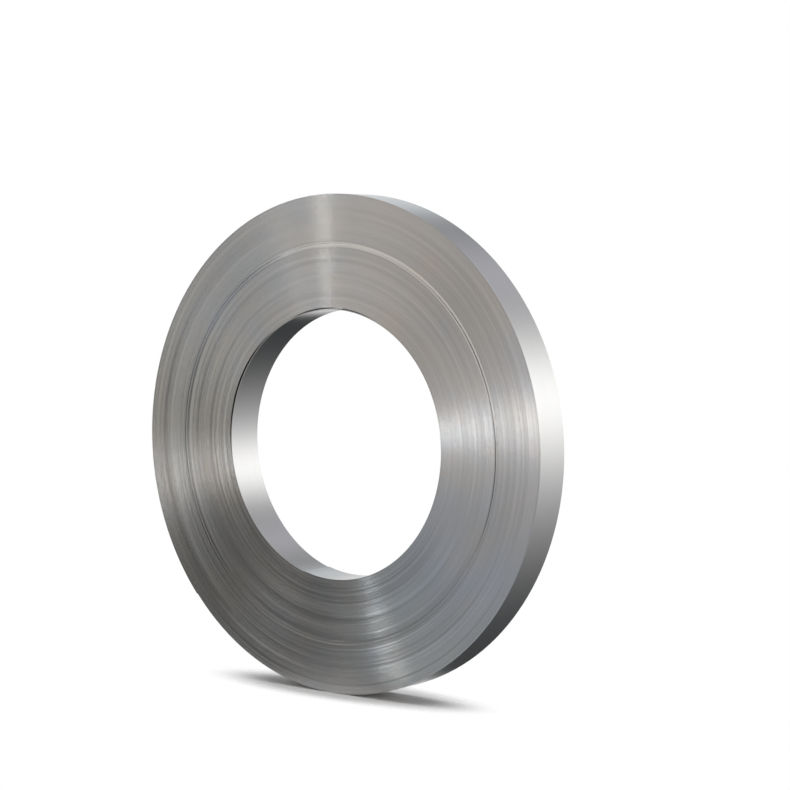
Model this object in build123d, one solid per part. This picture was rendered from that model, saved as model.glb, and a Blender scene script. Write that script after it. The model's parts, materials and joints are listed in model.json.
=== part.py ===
from build123d import *
import math
import os

# One slit coil: a narrow strip of stainless steel wound into a ring on a round mandrel. It stands
# on its rim. X runs across the ring, Y along its axis and Z up, and the origin is where the rim
# touches the floor, under the middle of the strip. The front end of the coil faces -Y. Sizes are
# in millimetres and angles in degrees, counted from +X towards +Z as seen from the front.

# Strip and winding
bore_diameter = 508.0
strip_width = 75.0
strip_thickness = 1.5
turns = 144

# Sideways wander of the turns, the same on both ends because the strip keeps its width
turns_in_a_group = 12
group_shift = 0.6
ridge_shift = 1.0
ridge_first_turn = 78
turns_in_a_ridge_line = 2

# Sector in which every turn climbs over the one below it, between the strip's two ends
outer_end_angle = 222.0
inner_end_angle = 254.0

# Slack places, where the innermost turn stands off from the next one
long_slack_from, long_slack_to, long_slack_gap = 122.0, 190.0, 4.0
tight_between_slacks = 6.0
short_slack_sweep, short_slack_gap = 50.0, 2.8

bore_radius = bore_diameter / 2
rim_radius = bore_radius + turns * strip_thickness
short_slack_to = long_slack_from - tight_between_slacks
short_slack_from = short_slack_to - short_slack_sweep


def polar(radius, angle):
    """A point on the coil's end, seen from the front, with the axis at its origin."""
    return (radius * math.cos(math.radians(angle)), radius * math.sin(math.radians(angle)))


def turn_shift(turn):
    """How far back a turn lies from the middle: groups step in and out, and the ridge is a
    sunken line between two proud ones."""
    ridge_line = (turn - ridge_first_turn) // turns_in_a_ridge_line
    if ridge_line in (0, 2):
        return -ridge_shift
    if ridge_line == 1:
        return ridge_shift
    group = turn // turns_in_a_group
    return group_shift * (3 * group % 7 - 3) / 3


def end_steps(end):
    """The stepped line of one end of the coil, from the bore to the rim."""
    points = []
    for turn in range(turns):
        inner = bore_radius + turn * strip_thickness
        place = end * strip_width / 2 + turn_shift(turn)
        if points and abs(points[-1][1] - place) < 1e-6:
            points[-1] = (inner + strip_thickness, place)
        else:
            points += [(inner, place), (inner + strip_thickness, place)]
    return points


def wound_ring():
    """The turns as one turned solid, with its bore and the steps of its two ends."""
    outline = end_steps(-1) + end_steps(1)[::-1]
    with BuildPart() as ring:
        with BuildSketch(Plane.XY):
            with BuildLine():
                Polyline(*outline, close=True)
            make_face()
        revolve(axis=Axis.Y)
    return ring.part


def through_cut(build_outline):
    """A cut of one outline, drawn as seen from the front, through the coil's whole width."""
    with BuildPart() as cut:
        with BuildSketch(Plane.XZ):
            with BuildLine():
                build_outline()
            make_face()
        extrude(amount=strip_width, both=True)
    return cut.part


def ramp(step_radius, step_angle, whole_radius, whole_angle):
    """The arc from a step in a surface to where the surface is whole, and as far past it."""
    past_radius, past_angle = 2 * whole_radius - step_radius, 2 * whole_angle - step_angle
    return ThreePointArc(
        polar(step_radius, step_angle),
        polar(whole_radius, whole_angle),
        polar(past_radius, past_angle),
    )


def beside_inner_end():
    """The outline of the space at the strip's inner end, where the next turn climbs over it."""
    arc = ramp(bore_radius + strip_thickness, inner_end_angle, bore_radius, outer_end_angle)
    Polyline(arc @ 1, (0, 0), arc @ 0)


def behind_outer_end():
    """The outline of the space past the strip's outer end, where the rim is one turn lower."""
    arc = ramp(rim_radius - strip_thickness, outer_end_angle, rim_radius, inner_end_angle)
    outside = 1.5 * rim_radius
    Polyline(arc @ 1, polar(outside, inner_end_angle), polar(outside, outer_end_angle), arc @ 0)


def slack(angle_from, angle_to, gap):
    """The outline of a slack place: a crescent outside the innermost turn."""
    radius = bore_radius + strip_thickness
    middle = (angle_from + angle_to) / 2
    start, end = polar(radius, angle_from), polar(radius, angle_to)
    ThreePointArc(start, polar(radius, middle), end)
    ThreePointArc(start, polar(radius + gap, middle), end)


coil = wound_ring()
coil -= through_cut(beside_inner_end)
coil -= through_cut(behind_outer_end)
coil -= through_cut(lambda: slack(long_slack_from, long_slack_to, long_slack_gap))
coil -= through_cut(lambda: slack(short_slack_from, short_slack_to, short_slack_gap))
coil = Pos(0, 0, rim_radius) * coil

os.makedirs("parts", exist_ok=True)
export_step(coil, "parts/strip_coil.step")
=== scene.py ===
import json
import math

import bmesh
import bpy
import numpy as np
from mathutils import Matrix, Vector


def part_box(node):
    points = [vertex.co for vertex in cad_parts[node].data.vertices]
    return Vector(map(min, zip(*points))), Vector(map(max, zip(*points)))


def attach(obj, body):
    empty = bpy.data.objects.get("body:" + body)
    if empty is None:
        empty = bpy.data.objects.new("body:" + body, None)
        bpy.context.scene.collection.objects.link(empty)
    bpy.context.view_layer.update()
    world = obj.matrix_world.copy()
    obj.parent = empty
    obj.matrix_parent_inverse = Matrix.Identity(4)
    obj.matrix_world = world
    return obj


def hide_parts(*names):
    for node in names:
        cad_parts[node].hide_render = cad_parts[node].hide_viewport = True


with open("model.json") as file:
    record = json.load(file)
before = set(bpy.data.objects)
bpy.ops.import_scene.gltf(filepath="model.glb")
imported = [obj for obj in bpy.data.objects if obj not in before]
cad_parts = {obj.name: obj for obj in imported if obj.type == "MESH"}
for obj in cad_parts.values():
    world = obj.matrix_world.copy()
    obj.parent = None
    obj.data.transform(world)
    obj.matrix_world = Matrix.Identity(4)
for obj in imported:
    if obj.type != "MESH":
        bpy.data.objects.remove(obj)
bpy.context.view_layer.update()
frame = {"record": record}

# The wound strip. One narrow strip of stainless steel, slit from a wider coil and wound tight on a
# round mandrel, turn on turn. Nothing holds it but its own tension. Seen from the front, angles run
# from +X towards +Z, and turns are counted from the bore outwards.
strip_low, strip_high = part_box("strip_coil")
rim_radius = (strip_high.z - strip_low.z) / 2
axis_height = (strip_high.z + strip_low.z) / 2
bore_mount = [mount for mount in frame["record"]["mounts"] if mount["name"] == "bore"][0]
bore_radius = bore_mount["dims"]["r_mm"] / 1000
strip_width = bore_mount["dims"]["length_mm"] / 1000
turns = 144
strip_thickness = (rim_radius - bore_radius) / turns

# The strip starts in the bore and ends on the rim, a little short of whole turns. In the sector
# between its two ends every turn climbs by its own thickness, to lie on the one below.
inner_end = math.radians(254)
outer_end = math.radians(222)
climb_sweep = inner_end - outer_end
wound_sweep = math.tau - climb_sweep
wound_steps = 144
climb_steps = 16

# Slack places, where the innermost turn has come away from the next: from, to and widest gap.
slacks = [
    (math.radians(122), math.radians(190), 0.004),
    (math.radians(66), math.radians(116), 0.0028),
]

# How far back each turn lies from the middle. The strip wandered as it was wound, so the turns step
# in and out together a dozen at a time, with each step spread over a few of them, and one ridge of
# three lines stands off the rest. The innermost turns lie even with each other.
turns_in_a_group = 12
group_shift = 0.0006
step_spread = (0.1, 0.2, 0.4, 0.2, 0.1)
own_shift = 0.00006
even_turns = 3
ridge_first_turn = 78
ridge_lines = 3
turns_in_a_ridge_line = 2
ridge_turns = ridge_lines * turns_in_a_ridge_line
ridge_shift = 0.001
rng = np.random.default_rng(7)


def drift(reach, spread):
    """A random wander from turn to turn, which keeps close to its neighbours over reach turns."""
    steps = rng.normal(0, 1, turns + 2 * reach)
    smooth = np.convolve(steps, np.hanning(reach + 2)[1:-1], "same")[reach:reach + turns]
    return spread * smooth / smooth.std()


shift = np.zeros(turns)
for turn in range(turns):
    group = turn // turns_in_a_group
    shift[turn] = group_shift * (3 * group % 7 - 3) / 3
shift = np.convolve(np.pad(shift, len(step_spread) // 2, "edge"), step_spread, "valid")
shift += rng.normal(0, own_shift, turns)
shift[:even_turns] = shift[0]
for turn in range(ridge_turns):
    sunken = turn // turns_in_a_ridge_line == ridge_lines // 2
    shift[ridge_first_turn + turn] = ridge_shift if sunken else -ridge_shift

# The edges of the turns don't lie quite square either. The slitter rolled one side of each over, so
# on both ends every edge falls back on its outer side. Each turn also leans a little on its own, and
# sways most on the side where the strip's two ends lie.
outward_slope = math.radians(9)
uneven_side = math.radians(245)
tilt = drift(1, math.radians(0.6)) + drift(4, math.radians(0.6)) + drift(12, math.radians(0.3))
sway = drift(1, math.radians(1.2)) + drift(3, math.radians(1.4)) + drift(8, math.radians(1))
sway_from = uneven_side + drift(14, 0.4)

# The strip's section through the innermost turn, beside the bore, is drawn first. The other turns
# are drawn out of a copy of its outer side, two corners at a time.
section_middle = bore_radius + strip_thickness / 2
bpy.ops.object.select_all(action="DESELECT")
bpy.ops.mesh.primitive_plane_add(size=1, location=(section_middle, shift[0], axis_height))
strip = bpy.context.object
strip.name = "wound_strip"
bpy.ops.transform.resize(value=(strip_thickness, strip_width, 1))
bpy.ops.object.transform_apply(location=True, rotation=True, scale=True)
bpy.ops.object.mode_set(mode="EDIT")
bpy.ops.mesh.delete(type="ONLY_FACE")
bpy.ops.mesh.select_all(action="DESELECT")
section = bmesh.from_edit_mesh(strip.data)
for corner in section.verts:
    corner.select = corner.co.x > section_middle
section.select_flush(True)
bpy.ops.mesh.duplicate()
for turn in range(1, turns):
    if turn > 1:
        step = (0, shift[turn] - shift[turn - 1], 0)
        bpy.ops.mesh.extrude_vertices_move(TRANSFORM_OT_translate={"value": step})
    bpy.ops.mesh.extrude_vertices_move(
        TRANSFORM_OT_translate={"value": (strip_thickness, 0, 0)}
    )
bpy.ops.mesh.edge_face_add()
bpy.ops.object.mode_set(mode="OBJECT")

# Each corner keeps the number of its turn, and whether it lies on the turn's outer side. The first
# turn's corners lie inner and outer in alternation, and the others' two inner and then two outer.
corners_in_a_turn = 4
drawn = np.arange(corners_in_a_turn * turns)
own_turn = drawn // corners_in_a_turn
outer_corner = np.where(own_turn == 0, drawn % 2, drawn // 2 % 2)
strip.data.attributes.new("turn", "INT", "POINT").data.foreach_set("value", own_turn)
strip.data.attributes.new("outer_corner", "INT", "POINT").data.foreach_set("value", outer_corner)

# The section is turned to the strip's inner end and spun from there to the strip's outer end. The
# last turn stops there, so the one under it gets an edge along its outer side, and all but the last
# are spun on through the sector where they climb.
axis = {"center": (0, 0, axis_height), "axis": (0, 1, 0)}
bpy.ops.object.mode_set(mode="EDIT")
bpy.ops.mesh.select_all(action="SELECT")
bpy.ops.transform.rotate(value=inner_end, orient_axis="Y", center_override=axis["center"])
bpy.ops.mesh.spin(steps=wound_steps, angle=wound_sweep, **axis)
section = bmesh.from_edit_mesh(strip.data)
turn_of = section.verts.layers.int["turn"]
outer_of = section.verts.layers.int["outer_corner"]
at_outer_end = [corner for corner in section.verts if corner.select]
bpy.ops.mesh.select_all(action="DESELECT")
for corner in at_outer_end:
    corner.select = corner[turn_of] == turns - 2 and corner[outer_of] == 1
bpy.ops.mesh.edge_face_add()
for corner in at_outer_end:
    corner.select = corner[turn_of] < turns - 1
section.select_flush(True)
bpy.ops.mesh.spin(steps=climb_steps, angle=climb_sweep, **axis)
bpy.ops.object.mode_set(mode="OBJECT")

# Settling. The turns are let out to where they lie, each with its own wander, so all their corners
# are moved at once, which no operator does. In the climbing sector a turn passes over into the
# next. An angle that falls short of a whole round by no more than round_off is none.
round_off = 0.001
corner_count = len(strip.data.vertices)
at_inner_end = np.zeros(corner_count, bool)
turn_at = np.zeros(corner_count, np.int32)
outer_at = np.zeros(corner_count, np.int32)
place = np.zeros(3 * corner_count)
strip.data.vertices.foreach_get("select", at_inner_end)
strip.data.vertices.foreach_get("co", place)
strip.data.attributes["turn"].data.foreach_get("value", turn_at)
strip.data.attributes["outer_corner"].data.foreach_get("value", outer_at)
place = place.reshape(-1, 3)
side = np.sign(place[:, 1])
swept = (np.arctan2(place[:, 2] - axis_height, place[:, 0]) - inner_end) % math.tau
swept[swept > math.tau - round_off] = 0
swept[at_inner_end] = math.tau
angle = swept + inner_end
climbed = np.clip((swept - wound_sweep) / climb_sweep, 0, 1)
next_turn = np.minimum(turn_at + 1, turns - 1)


def passed_over(values):
    """A value of each turn, passing over into the next turn's where the strip climbs."""
    return values[turn_at] * (1 - climbed) + values[next_turn] * climbed


gap = np.zeros(corner_count)
for slack_from, slack_to, widest in slacks:
    middle = (slack_from + slack_to) / 2
    off_middle = (angle - middle + math.pi) % math.tau - math.pi
    gap += widest * np.clip(1 - (off_middle / (slack_to - middle)) ** 2, 0, 1)
tilt[:even_turns] = 0
sway[:even_turns] = 0
lean = passed_over(tilt) + passed_over(sway) * (1 + np.cos(angle - passed_over(sway_from))) / 2
along = side * strip_width / 2 + passed_over(shift)
along += (outer_at - 0.5) * strip_thickness * (lean - side * outward_slope)
laid = turn_at + outer_at + climbed
reach = bore_radius + laid * strip_thickness
reach += np.where(turn_at > 0, gap * (turns - laid) / (turns - 1), 0)
place[:, 0] = reach * np.cos(angle)
place[:, 1] = np.clip(along, strip_low.y, strip_high.y)
place[:, 2] = reach * np.sin(angle) + axis_height
strip.data.vertices.foreach_set("co", place.ravel())

# Where turns lie tight there is no wall between the innermost two, so those faces go. Corners that
# meet are joined, and the strip's outer end is closed. Its inner end stays open, and so does the low
# step beside the innermost turn.
walls = np.zeros(4 * len(strip.data.polygons), np.int32)
strip.data.polygons.foreach_get("vertices", walls)
walls = walls.reshape(-1, 4)
through = (side[walls].min(1) < 0) & (side[walls].max(1) > 0)
inside = (turn_at[walls] + outer_at[walls] == 1).all(1)
strip.data.polygons.foreach_set("select", through & inside & (gap[walls].max(1) == 0))
strip.data.update()
bpy.ops.object.mode_set(mode="EDIT")
bpy.ops.mesh.select_mode(type="FACE")
bpy.ops.mesh.delete(type="FACE")
bpy.ops.mesh.select_mode(type="VERT")
bpy.ops.mesh.select_all(action="SELECT")
bpy.ops.mesh.remove_doubles(threshold=0.000001)
bpy.ops.mesh.fill_holes(sides=8)
bpy.ops.mesh.normals_make_consistent(inside=False)
bpy.ops.object.mode_set(mode="OBJECT")
bpy.ops.object.shade_smooth_by_angle(angle=math.radians(25))


def add_node(tree, kind, sockets=(), **settings):
    """A shader node with its settings, and with a value or another node's output in each socket."""
    made = tree.nodes.new("ShaderNode" + kind)
    for name, value in settings.items():
        setattr(made, name, value)
    for socket, value in dict(sockets).items():
        if isinstance(value, bpy.types.NodeSocket):
            tree.links.new(value, made.inputs[socket])
        else:
            made.inputs[socket].default_value = value
    return made


def ramped(tree, value, start, stop, low=0, high=1, **settings):
    """A value that goes from low to high while another one goes from start to stop."""
    return add_node(
        tree,
        "MapRange",
        {"Value": value, "From Min": start, "From Max": stop, "To Min": low, "To Max": high},
        **settings,
    ).outputs["Result"]


def mixed(tree, share, colour, other_colour):
    """A colour with a share of another one in it."""
    return add_node(tree, "MixRGB", {0: share, 1: colour, 2: other_colour}).outputs["Color"]


def start_steel(name):
    """A new steel with its shader, and where each point lies, counted from the coil's middle."""
    steel = bpy.data.materials.new(name)
    steel.use_nodes = True
    tree = steel.node_tree
    tree.nodes.clear()
    shader = add_node(tree, "BsdfPrincipled", {"Metallic": 1})
    add_node(tree, "OutputMaterial", {"Surface": shader.outputs["BSDF"]})
    spot = add_node(tree, "TexCoord").outputs["Object"]
    from_middle = add_node(
        tree, "VectorMath", {0: spot, 1: (0, 0, axis_height)}, operation="SUBTRACT"
    ).outputs["Vector"]
    return steel, tree, shader, from_middle


def off_axis(tree, from_middle):
    """The arm from the coil's axis straight out to each point."""
    return add_node(
        tree, "VectorMath", {0: from_middle, 1: (1, 0, 1)}, operation="MULTIPLY"
    ).outputs["Vector"]


def drawn_out(tree, outward, across, size, run, **pattern):
    """Noise drawn out along the turns: it changes over size across them and over run along them."""
    stretched = add_node(
        tree, "VectorMath", {0: outward, "Scale": rim_radius / run}, operation="SCALE"
    ).outputs["Vector"]
    counted = add_node(tree, "Math", {0: across, 1: size}, operation="DIVIDE").outputs["Value"]
    lines = add_node(tree, "CombineXYZ", {"Y": counted}).outputs["Vector"]
    where = add_node(
        tree, "VectorMath", {0: stretched, 1: lines}, operation="ADD"
    ).outputs["Vector"]
    return add_node(tree, "TexNoise", {"Vector": where, "Scale": 1, **pattern}).outputs["Fac"]


# The slit edges on both ends. The slitter leaves each edge half burnished and half torn, in fine
# lines that follow the turns, so light spreads outwards across them.
cool_steel = (0.56, 0.57, 0.58, 1)
warm_steel = (0.59, 0.575, 0.555, 1)
slit_edge, tree, shader, from_middle = start_steel("slit_edge")
arm = off_axis(tree, from_middle)
outward = add_node(tree, "VectorMath", {0: arm}, operation="NORMALIZE").outputs["Vector"]
radius = add_node(tree, "VectorMath", {0: arm}, operation="LENGTH").outputs["Value"]
turn_lines = drawn_out(
    tree, outward, radius, size=strip_thickness, run=0.9, Detail=3, Roughness=0.6
)
bands = drawn_out(tree, outward, radius, size=6 * strip_thickness, run=1, Detail=2)
patches = drawn_out(tree, outward, radius, size=0.09, run=0.12, Detail=2)
tone = mixed(tree, ramped(tree, patches, 0.35, 0.65), cool_steel, warm_steel)

# On the side of the strip's two ends, at the lower left, the turns' edges are painted darker in
# lines: painted shade for the dark there. Over the top, away from them, the ridge is painted paler: a
# painted highlight where it faces the light from above. The pale band reaches a tenth of a turn past
# the ridge.
# Painted shade: the dark steel of the lines towards the strip's ends.
painted_shade_steel = (0.2, 0.19, 0.18, 1)
# Painted highlight: the pale steel of the ridge over the top.
painted_highlight_steel = (0.86, 0.85, 0.83, 1)
ridge_radius = bore_radius + (ridge_first_turn + ridge_turns / 2) * strip_thickness
highlight_half_width = (ridge_turns / 2 + 0.1) * strip_thickness
towards_ends = (math.cos(uneven_side), 0, math.sin(uneven_side))
near_ends = add_node(
    tree, "VectorMath", {0: outward, 1: towards_ends}, operation="DOT_PRODUCT"
).outputs["Value"]
# Painted shade: dark lines, heaviest towards the strip's ends at the lower left.
shade_lines = drawn_out(
    tree, outward, radius, size=4 * strip_thickness, run=1.5, Detail=3, Roughness=0.6
)
shade_lines = ramped(tree, shade_lines, 0.3, 0.7)
shade_weight = ramped(tree, near_ends, 0, 0.9, 0.08, 0.45)
painted_shade_share = add_node(tree, "Math", {0: shade_lines, 1: shade_weight}, operation="MULTIPLY").outputs["Value"]
tone = mixed(tree, painted_shade_share, tone, painted_shade_steel)
# Painted highlight: the ridge over the top is made paler.
on_ridge = add_node(
    tree, "Math", {0: radius, 1: ridge_radius, 2: highlight_half_width}, operation="COMPARE"
).outputs["Value"]
over_top = ramped(tree, near_ends, -0.5, -0.9)
painted_highlight_share = add_node(tree, "Math", {0: on_ridge, 1: over_top}, operation="MULTIPLY").outputs["Value"]
tone = mixed(tree, painted_highlight_share, tone, painted_highlight_steel)
tree.links.new(tone, shader.inputs["Base Color"])
gloss = ramped(tree, bands, 0.3, 0.7, 0.2, 0.26)
tree.links.new(gloss, shader.inputs["Roughness"])
lines = add_node(
    tree, "Bump", {"Height": turn_lines, "Strength": 0.12, "Distance": 0.0002}
).outputs["Normal"]
tree.links.new(lines, shader.inputs["Normal"])
shader.inputs["Anisotropic"].default_value = 1
tree.links.new(outward, shader.inputs["Tangent"])

# The rolled faces, which show on the rim and in the bore. Cold rolling leaves them smooth, with
# faint lines along the strip.
rolled_steel = (0.575, 0.572, 0.565, 1)
rolled_face, tree, shader, from_middle = start_steel("rolled_face")
arm = off_axis(tree, from_middle)
outward = add_node(tree, "VectorMath", {0: arm}, operation="NORMALIZE").outputs["Vector"]
depth = add_node(tree, "SeparateXYZ", {0: from_middle}).outputs["Y"]
roll_lines = drawn_out(tree, outward, depth, size=0.0012, run=0.5, Detail=3)
gloss = ramped(tree, roll_lines, 0.3, 0.7, 0.21, 0.26)
tree.links.new(gloss, shader.inputs["Roughness"])
shader.inputs["Base Color"].default_value = rolled_steel
shader.inputs["Anisotropic"].default_value = 0.5
across_strip = add_node(tree, "CombineXYZ", {"Y": 1}).outputs["Vector"]
tree.links.new(across_strip, shader.inputs["Tangent"])

strip.data.materials.append(slit_edge)
strip.data.materials.append(rolled_face)
for face in strip.data.polygons:
    looks_along_axis = abs(face.normal.y) > 0.7
    face.material_index = 0 if looks_along_axis else 1
strip.data.attributes.remove(strip.data.attributes["turn"])
strip.data.attributes.remove(strip.data.attributes["outer_corner"])
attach(strip, "root")
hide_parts("strip_coil")

# The floor is a plain pale sheet under the coil, which fades out towards its edge. It is small,
# because the steel mirrors it.
floor_reach = (0.36, 0.11)
floor_colour = (0.9, 0.9, 0.9, 1)
bpy.ops.object.select_all(action="DESELECT")
bpy.ops.mesh.primitive_plane_add(size=2, location=(0, 0, 0))
floor = bpy.context.object
floor.name = "floor"
bpy.ops.transform.resize(value=(*floor_reach, 1))
bpy.ops.object.transform_apply(location=True, rotation=True, scale=True)
pale = bpy.data.materials.new("pale_floor")
pale.use_nodes = True
tree = pale.node_tree
sheet = tree.nodes["Principled BSDF"]
sheet.inputs["Base Color"].default_value = floor_colour
sheet.inputs["Roughness"].default_value = 1
sheet.inputs["Specular IOR Level"].default_value = 0
spot = add_node(tree, "TexCoord").outputs["Object"]
share_out = add_node(
    tree, "VectorMath", {0: spot, 1: (*floor_reach, 1)}, operation="DIVIDE"
).outputs["Vector"]
share_out = add_node(tree, "VectorMath", {0: share_out}, operation="LENGTH").outputs["Value"]
faded = ramped(tree, share_out, 0.5, 1, interpolation_type="SMOOTHSTEP")
nothing = add_node(tree, "BsdfTransparent").outputs["BSDF"]
fading = add_node(tree, "MixShader", {0: faded, 1: sheet.outputs["BSDF"], 2: nothing})
tree.links.new(fading.outputs["Shader"], tree.nodes["Material Output"].inputs["Surface"])
floor.data.materials.append(pale)

# The studio. A dim room with a white wall behind the coil to the left, a window behind it to the
# right, a lamp overhead, and smaller soft lamps in front, which the steel draws out into streaks.
studio = bpy.data.worlds.new("studio")
bpy.context.scene.world = studio
studio.use_nodes = True
tree = studio.node_tree
tree.nodes.clear()
way = add_node(tree, "TexCoord").outputs["Generated"]


def nearness(heading, rise):
    """How near each direction is to one given in degrees: headings run from the front to the right."""
    heading = math.radians(heading)
    rise = math.radians(rise)
    across = math.cos(rise)
    middle = (across * math.sin(heading), -across * math.cos(heading), math.sin(rise))
    return add_node(
        tree, "VectorMath", {0: way, 1: middle}, operation="DOT_PRODUCT"
    ).outputs["Value"]


def with_lamp(light, heading, rise, half_width, colour):
    """The light and one more soft lamp, which is half as bright at half_width from its middle."""
    sharpness = math.log(2) / (1 - math.cos(math.radians(half_width)))
    power = add_node(
        tree,
        "Math",
        {0: nearness(heading, rise), 1: sharpness, 2: -sharpness},
        operation="MULTIPLY_ADD",
    ).outputs["Value"]
    bell = add_node(tree, "Math", {0: power}, operation="EXPONENT").outputs["Value"]
    return add_node(
        tree, "VectorMath", {0: bell, 1: colour, 2: light}, operation="MULTIPLY_ADD"
    ).outputs["Vector"]


# The dim room itself, and the lamp overhead.
light = (0.055, 0.06, 0.062)
light = with_lamp(light, heading=-90, rise=74, half_width=21, colour=(4, 4, 4))

# The window, and pale things above it, below it and to the left, all behind the coil.
light = with_lamp(light, heading=143, rise=13, half_width=16, colour=(1.62, 1.62, 1.6))
light = with_lamp(light, heading=176, rise=36, half_width=15, colour=(0.52, 0.52, 0.57))
light = with_lamp(light, heading=145, rise=-6, half_width=24, colour=(0.56, 0.55, 0.56))
light = with_lamp(light, heading=-146, rise=20, half_width=9, colour=(0.8, 0.84, 0.88))

# The soft lamps in front.
light = with_lamp(light, heading=-46, rise=14, half_width=10.5, colour=(0.8, 0.78, 0.77))
light = with_lamp(light, heading=-28, rise=13, half_width=10.5, colour=(0.59, 0.52, 0.45))
light = with_lamp(light, heading=-17, rise=-3, half_width=10.5, colour=(1, 0.99, 1.01))
light = with_lamp(light, heading=-64, rise=-1, half_width=10.5, colour=(0.88, 0.84, 0.76))
light = with_lamp(light, heading=52, rise=10, half_width=11, colour=(2.8, 2.5, 2.35))
light = with_lamp(light, heading=4, rise=-38, half_width=12.5, colour=(1.1, 1.22, 1.45))
light = with_lamp(light, heading=-29, rise=-38, half_width=10.5, colour=(0.8, 0.87, 0.92))

# Four narrow lamps, for the streaks at 12, 3, 9 and 6 o'clock in that order.
light = with_lamp(light, heading=-50, rise=30, half_width=0.8, colour=(60, 60, 58))
light = with_lamp(light, heading=-16, rise=-2, half_width=2, colour=(6, 6, 6))
light = with_lamp(light, heading=-57, rise=-7.5, half_width=1.5, colour=(5.5, 5.4, 5.2))
light = with_lamp(light, heading=-36, rise=-40, half_width=2, colour=(11, 11.4, 11.8))

# The white wall, which fades out between these two angles from its middle.
wall_edge = math.cos(math.radians(19))
wall_whole = math.cos(math.radians(15))
wall = ramped(
    tree,
    nearness(heading=-142, rise=-3.6),
    wall_edge,
    wall_whole,
    interpolation_type="SMOOTHSTEP",
)
light = mixed(tree, wall, light, (1, 1, 1, 1))
background = add_node(tree, "Background", {"Color": light, "Strength": 1})
add_node(tree, "OutputWorld", {"Surface": background.outputs["Background"]})

# The camera stands in front of the coil to the right, a little above its axis.
lens = bpy.data.cameras.new("camera")
lens.lens = 100.1
camera = bpy.data.objects.new("camera", lens)
bpy.context.scene.collection.objects.link(camera)
camera.location = (2.615, -3.206, 0.826)
camera.rotation_euler = (math.radians(86.35), 0, math.radians(37.9))
bpy.context.scene.camera = camera

bpy.context.scene.view_settings.view_transform = "Standard"
